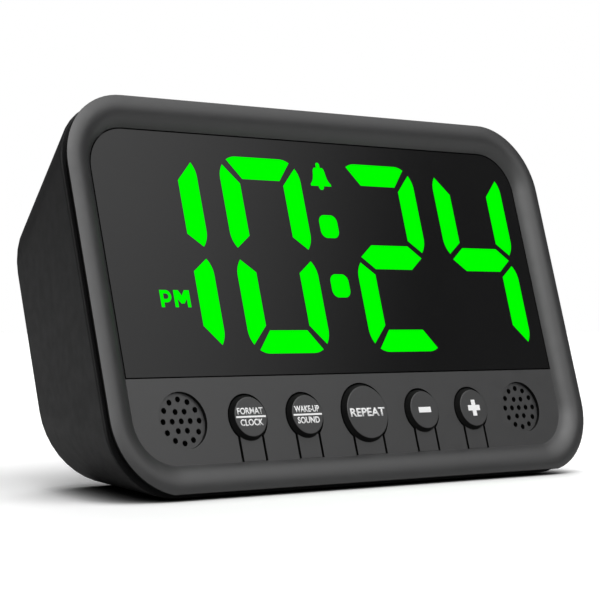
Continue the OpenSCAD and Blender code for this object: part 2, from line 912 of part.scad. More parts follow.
// One key: a round cap on a tongue that bends at a thin web.
module key(x, cap_d, tongue_w) {
    foot = cap_d / 2;
    top = [foot - cap_taper, cap_h];
    color("#545455") on_face() translate([x, 0, 0]) {
        translate([0, key_y, 0]) {
            rotate_extrude() polygon(concat(
                [[0, cap_h], [0, -key_t], [foot, -key_t], [foot, 0]],
                [for (turn = [30:15:90]) top - cap_round * [1 - cos(turn), 1 - sin(turn)]]
            ));
            post([0, 0], post_d, plunger_front + post_gap, -key_t + tiny);
        }
        difference() {
            translate([-tongue_w / 2, root_y, -key_t]) cube([tongue_w, key_y - root_y, key_t]);
            translate([-tongue_w, root_y - web_l, -key_t - over])
                cube([2 * tongue_w, 2 * web_l, key_t + over - web_t]);
        }
    }
}

module time_key() {
    key(KEY_X[0], small_cap_d, small_tongue_w);
}

module alarm_key() {
    key(KEY_X[1], small_cap_d, small_tongue_w);
}

module snooze_key() {
    key(KEY_X[2], large_cap_d, large_tongue_w);
}

module minus_key() {
    key(KEY_X[3], small_cap_d, small_tongue_w);
}

module plus_key() {
    key(KEY_X[4], small_cap_d, small_tongue_w);
}

// Plunger of one key switch.
module plunger(x) {
    color("#222222") on_face() post([x, key_y], plunger_d, switch_front - plunger_stay, plunger_front);
}

module time_plunger() {
    plunger(KEY_X[0]);
}

module alarm_plunger() {
    plunger(KEY_X[1]);
}

module snooze_plunger() {
    plunger(KEY_X[2]);
}

module minus_plunger() {
    plunger(KEY_X[3]);
}

module plus_plunger() {
    plunger(KEY_X[4]);
}

module switch_bodies() {
    bore_floor = switch_front - plunger_stay - key_travel - bore_room;
    color("#b9bbbd") on_face() for (x = KEY_X) difference() {
        translate([x - switch_side / 2, key_y - switch_side / 2, board_front])
            cube([switch_side, switch_side, switch_h]);
        post([x, key_y], plunger_d + 2 * plunger_fit, bore_floor, switch_front + over);
    }
}

// Dished frame of one speaker, with a ledge that carries its cone.
module basket(side) {
    r = speaker_d / 2 - basket_wall;
    color("#2b2b2b") on_face() translate([side * grille_x, key_y, basket_back]) difference() {
        cylinder(d = speaker_d, h = basket_h);
        translate([0, 0, basket_wall]) cylinder(r = r - basket_ledge, h = basket_h);
        translate([0, 0, basket_wall + cone_rise]) cylinder(r = r, h = basket_h);
    }
}

module left_basket() {
    basket(-1);
}

module right_basket() {
    basket(1);
}

// Thin dished cone of one speaker.
module cone(side) {
    r = speaker_d / 2 - basket_wall - fit_gap / 2;
    middle = magnet_d / 4;
    flange = r - cone_flange;
    color("#565656") on_face() translate([side * grille_x, key_y, basket_back + basket_wall])
        rotate_extrude() polygon([
            [0, cone_floor], [middle, cone_floor], [flange, cone_rise], [r, cone_rise],
            [r, cone_rise + cone_t], [flange, cone_rise + cone_t],
            [middle, cone_floor + cone_t], [0, cone_floor + cone_t]
        ]);
}

module left_cone() {
    cone(-1);
}

module right_cone() {
    cone(1);
}

module magnet(side) {
    color("#8c8f92") on_face() post([side * grille_x, key_y], magnet_d, magnet_back, basket_back);
}

module left_magnet() {
    magnet(-1);
}

module right_magnet() {
    magnet(1);
}

module speaker_terminals() {
    color("#c9a227") on_face() for (side = [-1, 1], x = [-terminal_x, terminal_x]) {
        post([side * grille_x + x, key_y], terminal_d, board_front, basket_back);
    }
}

module ferrite_rod() {
    color("#3a3a3f") on_face() lying([0, rod_y, rod_z], rod_d, rod_l);
}

module aerial_winding() {
    color("#b5713a") on_face() difference() {
        lying([0, rod_y, rod_z], rod_d + 2 * winding_t, winding_l);
        lying([0, rod_y, rod_z], rod_d, winding_l + over);
    }
}

// Round wire through a list of points, with round bends.
module wire(points) {
    for (i = [0:len(points) - 2]) {
        run = points[i + 1] - points[i];
        turn = acos(run[2] / norm(run));
        translate(points[i]) rotate(a = turn, v = turn == 0 ? [1, 0, 0] : [-run[1], run[0], 0])
            cylinder(d = lead_d, h = norm(run), $fn = 24);
        if (i > 0) translate(points[i]) sphere(d = bend_d, $fn = 24);
    }
}

module aerial_leads() {
    from_z = rod_z + rod_d / 2 + winding_t;
    to_z = board_back - header_size[2] - receiver_size[2];
    color("#c8843c") on_face() for (side = [-1, 1]) {
        from = [side * winding_l / 4, rod_y, from_z];
        to = [receiver_at[0] + side * receiver_size[0] / 6, receiver_at[1] + receiver_size[1] / 4, to_z];
        wire([from, from + [0, 0, lead_rise], to - [0, 0, lead_rise], to]);
    }
}

module receiver_board() {
    color("#27613f") on_face()
        translate([receiver_at[0], receiver_at[1], board_back - header_size[2] - receiver_size[2] / 2])
            cube(receiver_size, center = true);
}

module receiver_header() {
    color("#1d1d1d") on_face()
        translate([receiver_at[0], receiver_at[1], board_back - header_size[2] / 2])
            cube(header_size, center = true);
}

module control_chip() {
    color("#191919") on_face() translate([chip_at[0], chip_at[1], board_back - chip_size[2] / 2])
        cube(chip_size, center = true);
}

module quartz_crystal() {
    color("#c4c6c8") on_face()
        lying([crystal_at[0], crystal_at[1], board_back - crystal_d / 2], crystal_d, crystal_l);
}

module capacitor() {
    color("#26324d") on_face() post(capacitor_at, capacitor_d, board_back - capacitor_l, board_back);
}

module battery_door() {
    color("#38383a") on_face() {
        difference() {
            translate([-door_w / 2, door_low, back_z]) cube([door_w, door_h, door_t]);
            translate([0, door_high, back_z - notch_d / 2 + notch_depth]) sphere(d = notch_d);
        }
        for (side = [-1, 1]) {
            translate([side * tab_x - tab_w / 2, door_low - tab_l, back_z + shell_wall + tab_fit])
                cube([tab_w, 2 * tab_l, tab_t]);
            translate([side * tab_x - tab_w / 2, door_low, back_z + door_t - tiny])
                cube([tab_w, tab_l, shell_wall + tab_fit - door_t + 2 * tiny]);
        }
    }
}

// The two cells lie head to tail.
module battery_cells() {
    body_l = cell_l - nub_l;
    color("#9aa1a6") on_face() for (side = [-1, 1]) {
        y = door_y + side * cell_pitch / 2;
        lying([-side * nub_l / 2, y, cell_z], cell_d, body_l);
        lying([side * (body_l - tiny) / 2, y, cell_z], nub_d, nub_l + tiny);
    }
}

// Contact plate against a bay's end wall with a bump towards each cell.
module contact(side, ys, tab) {
    x = side * (contact_x + contact_t / 2);
    low = min(ys) - contact_w / 2;
    color("#d0d2d4") on_face() {
        translate([x - contact_t / 2, low, cell_z - contact_w / 2])
            cube([contact_t, max(ys) - min(ys) + contact_w, contact_w]);
        for (y = ys) lying([side * (contact_x - (bump_l - tiny) / 2), y, cell_z], nub_d, bump_l + tiny);
        if (tab) {
            translate([x - contact_t / 2, ys[0] - solder_tab_w / 2, cell_z])
                cube([contact_t, solder_tab_w, bay_floor + bay_wall + solder_tab_l - cell_z]);
        }
    }
}

module bridge_contact() {
    contact(-1, [for (side = [-1, 1]) door_y + side * cell_pitch / 2], false);
}

module positive_contact() {
    contact(1, [door_y + cell_pitch / 2], true);
}

module negative_contact() {
    contact(1, [door_y - cell_pitch / 2], true);
}

module battery_leads() {
    from_z = bay_floor + bay_wall + solder_tab_l;
    color("#aa2222") on_face() for (at = solder_tabs()) {
        from = [at[0], at[1], from_z];
        to = [at[0] - lead_shift, at[1], board_back];
        wire([from, from + [0, 0, lead_rise], to - [0, 0, lead_rise], to]);
    }
}

module power_socket() {
    color("#101010") on_face() difference() {
        union() {
            post([socket_x, socket_y], socket_nose_d, back_z, back_inner + tiny);
            translate([socket_x, socket_y, (back_inner + socket_inner) / 2])
                cube([socket_body, socket_body, socket_l], center = true);
        }
        post([socket_x, socket_y], socket_d, back_z - over, socket_inner - socket_floor);
        post([socket_x, socket_y], socket_pin_d, back_z - over, socket_inner + over);
    }
}

module socket_pin() {
    color("#d4c37a") on_face() {
        post([socket_x, socket_y], socket_pin_d, back_z + pin_recess, socket_inner);
    }
}

module socket_leads() {
    color("#222222") on_face() for (side = [-1, 1]) {
        from = [socket_x, socket_y + side * socket_body / 4, socket_inner];
        to = [from[0] - lead_shift, from[1], board_back];
        wire([from, from + [0, 0, lead_rise], to - [0, 0, lead_rise], to]);
    }
}

module rubber_feet() {
    color("#1b1b1b") foot_places() cylinder(d = foot_d, h = foot_t);
}

// Pan-head screw along the face's normal, from its head's seat inwards.
module screw(at, d, head_d, head_t, seat, tip) {
    post(at, head_d, seat - head_t, seat);
    post(at, d, seat - tiny, tip);
}

module board_screws() {
    color("#b8babc") on_face() for (at = board_boss) {
        screw(at, board_screw_d, board_head_d, board_head_t, board_back, screw_tip);
    }
}

module housing_screws() {
    color("#b8babc") on_face() for (at = housing_boss) {
        screw(at, housing_screw_d, housing_head_d, housing_head_t, well_floor, screw_tip);
    }
}

front_bezel();
rear_housing();
display_panel();
panel_tape();
light_box();
hour_tens();
hour_units();
minute_tens();
minute_units();
dark_segments();
colon_dots();
bell_sign();
pm_sign();
main_board();
led_chips();
time_key();
alarm_key();
snooze_key();
minus_key();
plus_key();
time_plunger();
alarm_plunger();
snooze_plunger();
minus_plunger();
plus_plunger();
switch_bodies();
left_basket();
left_cone();
left_magnet();
right_basket();
right_cone();
right_magnet();
speaker_terminals();
ferrite_rod();
aerial_winding();
aerial_leads();
receiver_board();
receiver_header();
control_chip();
quartz_crystal();
capacitor();
battery_door();
battery_cells();
bridge_contact();
positive_contact();
negative_contact();
battery_leads();
power_socket();
socket_pin();
socket_leads();
rubber_feet();
board_screws();
housing_screws();
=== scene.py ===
"""Bedside alarm clock: finishes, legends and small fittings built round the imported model."""

import json
import logging
import math
from dataclasses import dataclass, field
from enum import Enum
from typing import Any

import bmesh
import bpy
from mathutils import Matrix, Vector

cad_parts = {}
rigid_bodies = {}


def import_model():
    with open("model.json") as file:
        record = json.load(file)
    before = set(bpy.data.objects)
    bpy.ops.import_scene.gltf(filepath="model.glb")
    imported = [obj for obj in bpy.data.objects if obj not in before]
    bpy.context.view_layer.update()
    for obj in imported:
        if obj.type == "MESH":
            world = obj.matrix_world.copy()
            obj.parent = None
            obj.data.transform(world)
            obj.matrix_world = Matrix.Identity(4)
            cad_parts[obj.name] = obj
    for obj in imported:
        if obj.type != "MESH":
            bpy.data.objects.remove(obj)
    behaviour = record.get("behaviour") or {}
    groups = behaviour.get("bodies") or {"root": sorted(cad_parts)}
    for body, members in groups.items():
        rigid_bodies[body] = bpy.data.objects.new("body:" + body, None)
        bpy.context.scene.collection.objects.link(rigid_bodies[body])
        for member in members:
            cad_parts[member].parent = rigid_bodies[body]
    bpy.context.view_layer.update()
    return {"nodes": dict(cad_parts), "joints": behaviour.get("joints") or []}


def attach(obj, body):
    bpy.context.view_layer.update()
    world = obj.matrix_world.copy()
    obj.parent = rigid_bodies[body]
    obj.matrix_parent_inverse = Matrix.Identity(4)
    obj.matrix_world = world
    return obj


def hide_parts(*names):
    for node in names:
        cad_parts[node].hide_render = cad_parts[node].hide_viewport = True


LOG = logging.getLogger("alarm_clock")
MM = 0.001
FACE_TILT = math.radians(16.0)
FACE_OUT = (0.0, -math.cos(FACE_TILT), math.sin(FACE_TILT))

Triple = tuple[float, float, float]
Colour = Triple
Range = tuple[float, float]
Socket = bpy.types.NodeSocket

# The colour sockets of a mix node, which share their names with its other sockets
MIX_FIRST = 6
MIX_SECOND = 7
MIX_RESULT = 2
# How far a wave texture of scale 1 turns over one metre, in radians
WAVE_TURN = 20.0
# Where most of a noise texture's values lie
CLOUD_REACH: Range = (0.3, 0.7)
WHOLE: Range = (0.0, 1.0)
FALLING: Range = (1.0, 0.0)


class Key(Enum):
    """The five keys of the control strip, by the first word of their nodes."""

    TIME = "time"
    ALARM = "alarm"
    SNOOZE = "snooze"
    MINUS = "minus"
    PLUS = "plus"


class Lie(Enum):
    """The way that a stretched pattern runs on a piece, as its scale along each axis."""

    ACROSS = (0.12, 1.0, 1.0)
    UPRIGHT = (1.0, 1.0, 0.12)
    EVEN = (1.0, 1.0, 1.0)


class Wiring:
    """A node tree, with short calls for the nodes that the finishes and the studio share."""

    def __init__(self, tree: bpy.types.NodeTree) -> None:
        """Takes over a tree.

        Args:
            tree: The tree of a material or a world.
        """
        self.tree = tree

    def node(self, kind: str, **settings: Any) -> bpy.types.Node:
        """Adds a node.

        Args:
            kind: Blender's name for the node's type.
            settings: Properties to set on it.

        Returns:
            The new node.
        """
        made = self.tree.nodes.new(kind)
        for key, value in settings.items():
            setattr(made, key, value)
        return made

    def feed(self, target: Socket, value: Any) -> None:
        """Gives an input its value.

        Args:
            target: The input.
            value: An output to link to it, or a constant.
        """
        if isinstance(value, Socket):
            self.tree.links.new(value, target)
        else:
            target.default_value = value

    def arithmetic(self, operation: str, *terms: Socket | float) -> Socket:
        """Works out a number.

        Args:
            operation: Blender's name for the operation.
            terms: Its terms, outputs or numbers.

        Returns:
            The result.
        """
        made = self.node("ShaderNodeMath", operation=operation)
        for target, term in zip(made.inputs, terms):
            self.feed(target, term)
        return made.outputs["Value"]

    def dot(self, vector: Socket, direction: Triple | Vector) -> Socket:
        """Measures how far a vector runs along a direction.

        Args:
            vector: The vector.
            direction: The direction, of length 1.

        Returns:
            The length along it.
        """
        made = self.node("ShaderNodeVectorMath", operation="DOT_PRODUCT")
        self.feed(made.inputs[0], vector)
        self.feed(made.inputs[1], direction)
        return made.outputs["Value"]

    def spread(
        self, value: Socket, result: Range, reach: Range = CLOUD_REACH, curve: str = "LINEAR",
    ) -> Socket:
        """Maps a value's reach onto another and stops at its ends.

        Args:
            value: The value to map.
            result: What the start and the end of its reach become.
            reach: Where the value's reach starts and ends.
            curve: Blender's name for the way between the ends.

        Returns:
            The mapped value.
        """
        made = self.node("ShaderNodeMapRange", interpolation_type=curve)
        self.feed(made.inputs["Value"], value)
        for name, number in zip(("From Min", "From Max", "To Min", "To Max"), (*reach, *result)):
            self.feed(made.inputs[name], number)
        return made.outputs["Result"]

    def blend(self, share: Socket, first: Socket | Colour, second: Socket | Colour) -> Socket:
        """Mixes two colours.

        Args:
            share: Share of the second colour.
            first: The first colour, an output or a linear constant.
            second: The second colour, likewise.

        Returns:
            The mixed colour.
        """
        made = self.node("ShaderNodeMix", data_type="RGBA")
        self.feed(made.inputs["Factor"], share)
        for index, colour in ((MIX_FIRST, first), (MIX_SECOND, second)):
            self.feed(made.inputs[index], colour if isinstance(colour, Socket) else (*colour, 1.0))
        return made.outputs[MIX_RESULT]


class Surface(Wiring):
    """The nodes of one material, round its shader and its Object coordinates."""

    def __init__(self, name: str) -> None:
        """Starts a material.

        Args:
            name: The material's name.
        """
        self.material = bpy.data.materials.new(name)
        self.material.use_nodes = True
        super().__init__(self.material.node_tree)
        self.shader = self.tree.nodes["Principled BSDF"]
        self.place = self.node("ShaderNodeTexCoord").outputs["Object"]

    def set(self, **values: Any) -> None:
        """Sets constants on the shader's own sockets.

        Args:
            values: The constants, by the sockets' names with underscores for spaces.
        """
        for key, value in values.items():
            self.shader.inputs[key.replace("_", " ")].default_value = value

    def drive(self, name: str, value: Socket) -> None:
        """Lets a pattern drive one of the shader's sockets.

        Args:
            name: The socket's name.
            value: The pattern.
        """
        self.feed(self.shader.inputs[name], value)

    def tint(self, share: Socket, colour: Colour, tones: Range) -> None:
        """Colours the surface between a darker and a lighter tone.

        Args:
            share: Share of the lighter tone.
            colour: The colour, linear.
            tones: The gains that make the two tones.
        """
        self.drive("Base Color", self.blend(share, shade(colour, tones[0]), shade(colour, tones[1])))

    def stretched(self, lie: Lie) -> Socket:
        """Object coordinates that are drawn out along one direction.

        Args:
            lie: The direction of the pattern.

        Returns:
            The stretched coordinates.
        """
        mapping = self.node("ShaderNodeMapping")
        mapping.inputs["Scale"].default_value = lie.value
        self.feed(mapping.inputs["Vector"], self.place)
        return mapping.outputs["Vector"]

    def noise(self, grain: float, detail: float = 2.0, lie: Lie = Lie.EVEN) -> Socket:
        """Soft random cloud.

        Args:
            grain: Size of its spots, in metres.
            detail: How many finer layers it has.
            lie: The direction in which it is drawn out.

        Returns:
            The cloud's value, mostly within CLOUD_REACH.
        """
        made = self.node("ShaderNodeTexNoise")
        made.inputs["Scale"].default_value = 1.0 / grain
        made.inputs["Detail"].default_value = detail
        self.feed(made.inputs["Vector"], self.place if lie is Lie.EVEN else self.stretched(lie))
        return made.outputs["Fac"]

    def bands(self, pitch: float, axis: str) -> Socket:
        """Even rings along one axis.

        Args:
            pitch: Distance between rings, in metres.
            axis: X, Y or Z.

        Returns:
            The rings' value, 0 to 1.
        """
        made = self.node("ShaderNodeTexWave", wave_type="BANDS", bands_direction=axis)
        made.inputs["Scale"].default_value = math.tau / (WAVE_TURN * pitch)
        made.inputs["Distortion"].default_value = 0.0
        self.feed(made.inputs["Vector"], self.place)
        return made.outputs["Fac"]

    def relief(self, height: Socket, depth: float, edge: float = 0.0) -> None:
        """Gives the surface a fine relief and, if asked, softly broken edges.

        Args:
            height: The relief's value.
            depth: Its depth, in metres.
            edge: Radius of the broken edges, in metres.
        """
        bump = self.node("ShaderNodeBump")
        bump.inputs["Strength"].default_value = 1.0
        bump.inputs["Distance"].default_value = depth
        self.feed(bump.inputs["Height"], height)
        if edge:
            corner = self.node("ShaderNodeBevel", samples=4)
            corner.inputs["Radius"].default_value = edge
            self.feed(bump.inputs["Normal"], corner.outputs["Normal"])
        self.drive("Normal", bump.outputs["Normal"])


def shade(colour: Colour, gain: float) -> Colour:
    """Makes a colour lighter or darker.

    Args:
        colour: The colour, linear.
        gain: What each of its channels is multiplied by.

    Returns:
        The new colour.
    """
    return (colour[0] * gain, colour[1] * gain, colour[2] * gain)


@dataclass(frozen=True)
class Finish:
    """What all finishes share: a name and a colour, in linear light."""

    name: str
    colour: Colour

    def material(self) -> bpy.types.Material:
        """Makes the finish's material once.

        Returns:
            The material.
        """
        made = bpy.data.materials.get(self.name)
        if made is None:
            surface = Surface(self.name)
            self.wire(surface)
            made = surface.material
        return made

    def wire(self, surface: Surface) -> None:
        """Wires the finish; each kind has its own way.

        Args:
            surface: The new material.
        """
        raise NotImplementedError


@dataclass(frozen=True)
class Moulded(Finish):
    """Injection-moulded plastic with a fine spark-eroded grain and softly broken edges."""

    roughness: float = 0.45
    unevenness: float = 0.03
    specular: float = 0.5
    mottle: float = 0.05
    cloud: float = 9 * MM
    patch: float = 3 * MM
    grain: float = 0.25 * MM
    depth: float = 0.004 * MM
    edge: float = 0.0

    def wire(self, surface: Surface) -> None:
        """Cloudy colour, uneven gloss and grain.

        Args:
            surface: The new material.
        """
        surface.tint(surface.noise(self.cloud), self.colour, (1 - self.mottle, 1 + self.mottle))
        rough = (self.roughness - self.unevenness, self.roughness + self.unevenness)
        surface.drive("Roughness", surface.spread(surface.noise(self.patch), rough))
        surface.relief(surface.noise(self.grain, detail=3.0), self.depth, self.edge)
        surface.set(Specular_IOR_Level=self.specular)


@dataclass(frozen=True)
class PaintWithWallShade(Moulded):
    """Dark painted plastic with painted shade: its steep walls, square to the face, take a near-black colour
    and a weak specular.
    """

    # The first two fields are painted shade for the steep walls, a near-black colour and a weak specular;
    # the last two say how far a wall faces FACE_OUT while that shade is full and once it is gone.
    bare: Colour = (0.006, 0.006, 0.006)
    wall_shade_specular: float = 0.1
    full_shade_below: float = 0.2
    no_shade_above: float = 0.4

    def wire(self, surface: Surface) -> None:
        """Grained paint on what faces out of the face, and painted shade on the steep walls: a near-black
        colour with a weak specular.

        Args:
            surface: The new material.
        """
        super().wire(surface)
        normal = surface.node("ShaderNodeTexCoord").outputs["Normal"]
        # Painted shade: share of the real paint, none on walls square to the face and all on surfaces that
        # face out.
        unshaded_share = surface.spread(surface.dot(normal, FACE_OUT), WHOLE, (self.full_shade_below, self.no_shade_above))
        paint = surface.shader.inputs["Base Color"].links[0].from_socket
        surface.drive("Base Color", surface.blend(unshaded_share, self.bare, paint))
        # The painted shade also weakens the specular on those walls.
        shaded_specular = surface.spread(unshaded_share, (self.wall_shade_specular, self.specular), WHOLE)
        surface.drive("Specular IOR Level", shaded_specular)


@dataclass(frozen=True)
class Gloss(Finish):
    """Polished sheet with a faint polish haze."""

    roughness: float = 0.05
    haze_gains: Range = (0.8, 1.4)
    haze: float = 6 * MM
    specular: float = 0.5
    tones: Range = (0.85, 1.15)
    cloud: float = 25 * MM

    def wire(self, surface: Surface) -> None:
        """Deep colour and uneven haze.

        Args:
            surface: The new material.
        """
        surface.tint(surface.noise(self.cloud), self.colour, self.tones)
        rough = (self.roughness * self.haze_gains[0], self.roughness * self.haze_gains[1])
        surface.drive("Roughness", surface.spread(surface.noise(self.haze, detail=4.0), rough))
        surface.set(Specular_IOR_Level=self.specular)


@dataclass(frozen=True)
class Lit(Finish):
    """Milky light guide that is lit from behind, with the faint cells of its diffuser."""

    dim: float = 0.97
    cell: float = 1.2 * MM

    def wire(self, surface: Surface) -> None:
        """Light of the finish's colour from a surface that shows no reflections.

        Args:
            surface: The new material.
        """
        glow = surface.blend(surface.noise(self.cell), shade(self.colour, self.dim), self.colour)
        surface.drive("Emission Color", glow)
        surface.set(Base_Color=(0, 0, 0, 1), Emission_Strength=1.0, Specular_IOR_Level=0.0, Roughness=1.0)


@dataclass(frozen=True)
class Metal(Finish):
    """Bright metal with fine drawing lines."""

    roughness: float = 0.28
    smoother: float = 0.08
    rougher: float = 0.1
    lie: Lie = Lie.ACROSS
    line: float = 0.15 * MM
    tones: Range = (0.86, 1.0)
    depth: float = 0.003 * MM

    def wire(self, surface: Surface) -> None:
        """Streaked colour and gloss along the drawing direction.

        Args:
            surface: The new material.
        """
        lines = surface.noise(self.line, detail=3.0, lie=self.lie)
        surface.tint(lines, self.colour, self.tones)
        rough = (self.roughness - self.smoother, self.roughness + self.rougher)
        surface.drive("Roughness", surface.spread(lines, rough))
        surface.relief(lines, self.depth)
        surface.set(Metallic=1.0)


@dataclass(frozen=True)
class Wound(Finish):
    """Enamelled wire in close turns along the x axis."""

    pitch: float = 0.45 * MM
    # The darker tone is painted shade in the gaps between the turns.
    tones: Range = (0.35, 1.0)
    rough: Range = (0.5, 0.28)
    depth: float = 0.12 * MM

    def wire(self, surface: Surface) -> None:
        """Rings with painted shade in the gaps between the turns.

        Args:
            surface: The new material.
        """
        turns = surface.bands(self.pitch, "X")
        surface.tint(turns, self.colour, self.tones)
        surface.drive("Roughness", surface.spread(turns, self.rough, WHOLE))
        surface.relief(turns, self.depth)
        surface.set(Metallic=0.8)


@dataclass(frozen=True)
class Board(Finish):
    """Circuit board under solder mask, with raised tracks and tinned pads."""

    track_gain: float = 1.7
    track_edge: Range = (0.38, 0.42)
    track_cell: float = 2.2 * MM
    track_height: float = 0.03 * MM
    pad: Colour = (0.55, 0.5, 0.36)
    pad_edge: Range = (0.12, 0.15)
    pad_cell: float = 4.4 * MM
    pad_scatter: float = 0.6
    rough: Range = (0.35, 0.2)

    def wire(self, surface: Surface) -> None:
        """Tracks from square cells, and small round pads.

        Args:
            surface: The new material.
        """
        tracks = surface.node("ShaderNodeTexVoronoi", distance="MANHATTAN")
        dots = surface.node("ShaderNodeTexVoronoi", distance="EUCLIDEAN")
        for texture, size in ((tracks, self.track_cell), (dots, self.pad_cell)):
            texture.inputs["Scale"].default_value = 1.0 / size
            surface.feed(texture.inputs["Vector"], surface.place)
        dots.inputs["Randomness"].default_value = self.pad_scatter
        ridge = surface.spread(tracks.outputs["Distance"], WHOLE, self.track_edge)
        mask = surface.blend(ridge, self.colour, shade(self.colour, self.track_gain))
        pads = surface.spread(dots.outputs["Distance"], FALLING, self.pad_edge)
        surface.drive("Base Color", surface.blend(pads, mask, self.pad))
        surface.drive("Roughness", surface.spread(pads, self.rough, WHOLE))
        surface.drive("Metallic", pads)
        surface.relief(ridge, self.track_height)


@dataclass(frozen=True)
class Fibre(Finish):
    """Felted or pressed fibre, soft foam and paper."""

    strand: float = 0.35 * MM
    tones: Range = (0.6, 1.35)
    depth: float = 0.05 * MM

    def wire(self, surface: Surface) -> None:
        """Mottled strands with a dull surface.

        Args:
            surface: The new material.
        """
        strands = surface.noise(self.strand, detail=6.0)
        surface.tint(strands, self.colour, self.tones)
        surface.relief(strands, self.depth)
        surface.set(Roughness=0.9, Specular_IOR_Level=0.2)


@dataclass(frozen=True)
class Soft(Finish):
    """Rubber or wire insulation with a dull skin and dust in its pores."""

    roughness: float = 0.7
    unevenness: float = 0.1
    tones: Range = (0.8, 1.3)
    patch: float = 4 * MM
    pore: float = 0.5 * MM
    depth: float = 0.02 * MM

    def wire(self, surface: Surface) -> None:
        """Slightly greyed patches and a pebbled surface.

        Args:
            surface: The new material.
        """
        pores = surface.noise(self.pore, detail=4.0)
        surface.tint(surface.noise(self.patch), self.colour, self.tones)
        rough = (self.roughness - self.unevenness, self.roughness + self.unevenness)
        surface.drive("Roughness", surface.spread(pores, rough))
        surface.relief(pores, self.depth)


@dataclass(frozen=True)
class Wrapped(Finish):
    """A can in a plain sleeve: bare metal past the sleeve's ends and one pale band."""

    metal: Colour = (0.6, 0.6, 0.62)
    sleeve_end: float = 20.6 * MM
    band_end: float = 8.0 * MM
    band_gain: float = 0.8
    blur: float = 0.05 * MM
    scuff: float = 0.6 * MM
    rough: Range = (0.25, 0.4)

    def wire(self, surface: Surface) -> None:
        """Bands by the distance from the clock's middle.

        Args:
            surface: The new material.
        """
        axes = surface.node("ShaderNodeSeparateXYZ")
        surface.feed(axes.inputs["Vector"], surface.place)
        away = surface.arithmetic("ABSOLUTE", axes.outputs["X"])
        bare = surface.spread(away, WHOLE, (self.sleeve_end - self.blur, self.sleeve_end + self.blur))
        band = surface.spread(away, FALLING, (self.band_end - self.blur, self.band_end + self.blur))
        sleeve = surface.blend(band, self.colour, shade(self.metal, self.band_gain))
        surface.drive("Base Color", surface.blend(bare, sleeve, self.metal))
        surface.drive("Metallic", bare)
        scuffs = surface.noise(self.scuff, detail=5.0, lie=Lie.ACROSS)
        surface.drive("Roughness", surface.spread(scuffs, self.rough))


@dataclass(frozen=True)
class Ink(Finish):
    """Pad-printed ink with a slightly uneven film."""

    film: float = 0.4 * MM
    tones: Range = (0.97, 1.0)
    rough: Range = (0.5, 0.65)

    def wire(self, surface: Surface) -> None:
        """Nearly even colour and a dull film.

        Args:
            surface: The new material.
        """
        film = surface.noise(self.film, detail=3.0)
        surface.tint(film, self.colour, self.tones)
        surface.drive("Roughness", surface.spread(film, self.rough))
        surface.set(Specular_IOR_Level=0.3)


PAINT: Colour = (0.0225, 0.0225, 0.0232)
# Bezel and keys: dark paint, with painted shade on their steep walls such as slits, key openings and cap
# sides.
BEZEL = PaintWithWallShade("bezel_paint_wall_shade", PAINT, roughness=0.42, specular=1.0, edge=0.12 * MM)
KEYS = PaintWithWallShade("key_paint_wall_shade", PAINT, roughness=0.42, specular=1.0, full_shade_below=0.7, no_shade_above=0.95)
HOUSING = Moulded(
    "housing_plastic", (0.019, 0.019, 0.0196), roughness=0.5, specular=0.25, depth=0.006 * MM, edge=0.1 * MM,
)
BLACK = Moulded("black_plastic", (0.008, 0.008, 0.008), roughness=0.4)
PANEL = Gloss("display_gloss", (0.0078, 0.0078, 0.008), specular=0.37)
GREEN = Lit("lit_green", (0.0, 1.0, 0.0))
STEEL = Metal("bright_steel", (0.62, 0.63, 0.64))
PLATED = Metal("nickel_plate", (0.45, 0.45, 0.46), roughness=0.2, lie=Lie.UPRIGHT)
BRASS = Metal("plated_brass", (0.62, 0.42, 0.14), roughness=0.25)
COPPER = Wound("enamelled_copper", (0.55, 0.2, 0.06))
MASK = Board("solder_mask", (0.006, 0.05, 0.02))
FOAM = Fibre("adhesive_foam", (0.012, 0.012, 0.012))
PAPER = Fibre("cone_paper", (0.02, 0.02, 0.02), strand=0.6 * MM)
WHITE = Moulded("reflector_white", (0.78, 0.78, 0.75), roughness=0.6, mottle=0.02)
RESIN = Gloss("lamp_resin", (0.8, 0.72, 0.35), roughness=0.2)
FERRITE = Fibre("sintered_ferrite", (0.02, 0.02, 0.022), strand=0.2 * MM)
SLEEVE = Gloss("shrink_sleeve", (0.012, 0.02, 0.06), roughness=0.3)
CELL = Wrapped("wrapped_cell", (0.03, 0.05, 0.06))
RED = Soft("red_insulation", (0.32, 0.012, 0.01), roughness=0.45)
DARK = Soft("black_insulation", (0.01, 0.01, 0.01), roughness=0.45)
RUBBER = Soft("soft_rubber", (0.012, 0.012, 0.012), roughness=0.8)
WHITE_INK = Ink("white_ink", (0.95, 0.95, 0.95))


@dataclass(frozen=True)
class FacePlane:
    """The tilted face: x across it, y up it, z out of it, from the middle of the display's lower seam."""

    hinge_drop: float = 18.825 * MM
    hinge_depth: float = 0.25 * MM
    place: Matrix = field(default_factory=Matrix)

    @classmethod
    def from_joints(cls, joints: list[dict]) -> "FacePlane":
        """Finds the face from the middle key's hinge and its plunger's travel.

        Args:
            joints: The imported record's joints.

        Returns:
            The face with its place in the frame.
        """
        named = {joint["name"]: joint for joint in joints}
        out = -Vector(named["snooze_plunger_slide"]["axis"]).normalized()
        across = Vector((1.0, 0.0, 0.0))
        up = out.cross(across)
        hinge = Vector(named["snooze_key_press"]["pos_m"])
        origin = hinge + up * cls.hinge_drop + out * cls.hinge_depth
        turn = Matrix((across, up, out)).transposed().to_4x4()
        return cls(place=Matrix.Translation(origin) @ turn)

    def reach(self, node: bpy.types.Object) -> tuple[Vector, Vector]:
        """Lowest and highest corner of a node along the face's own axes.

        Args:
            node: A CAD node's object.

        Returns:
            The two corners, in metres.
        """
        back = self.place.inverted()
        points = [back @ vertex.co for vertex in node.data.vertices]
        low = Vector(min(point[axis] for point in points) for axis in range(3))
        high = Vector(max(point[axis] for point in points) for axis in range(3))
        return low, high


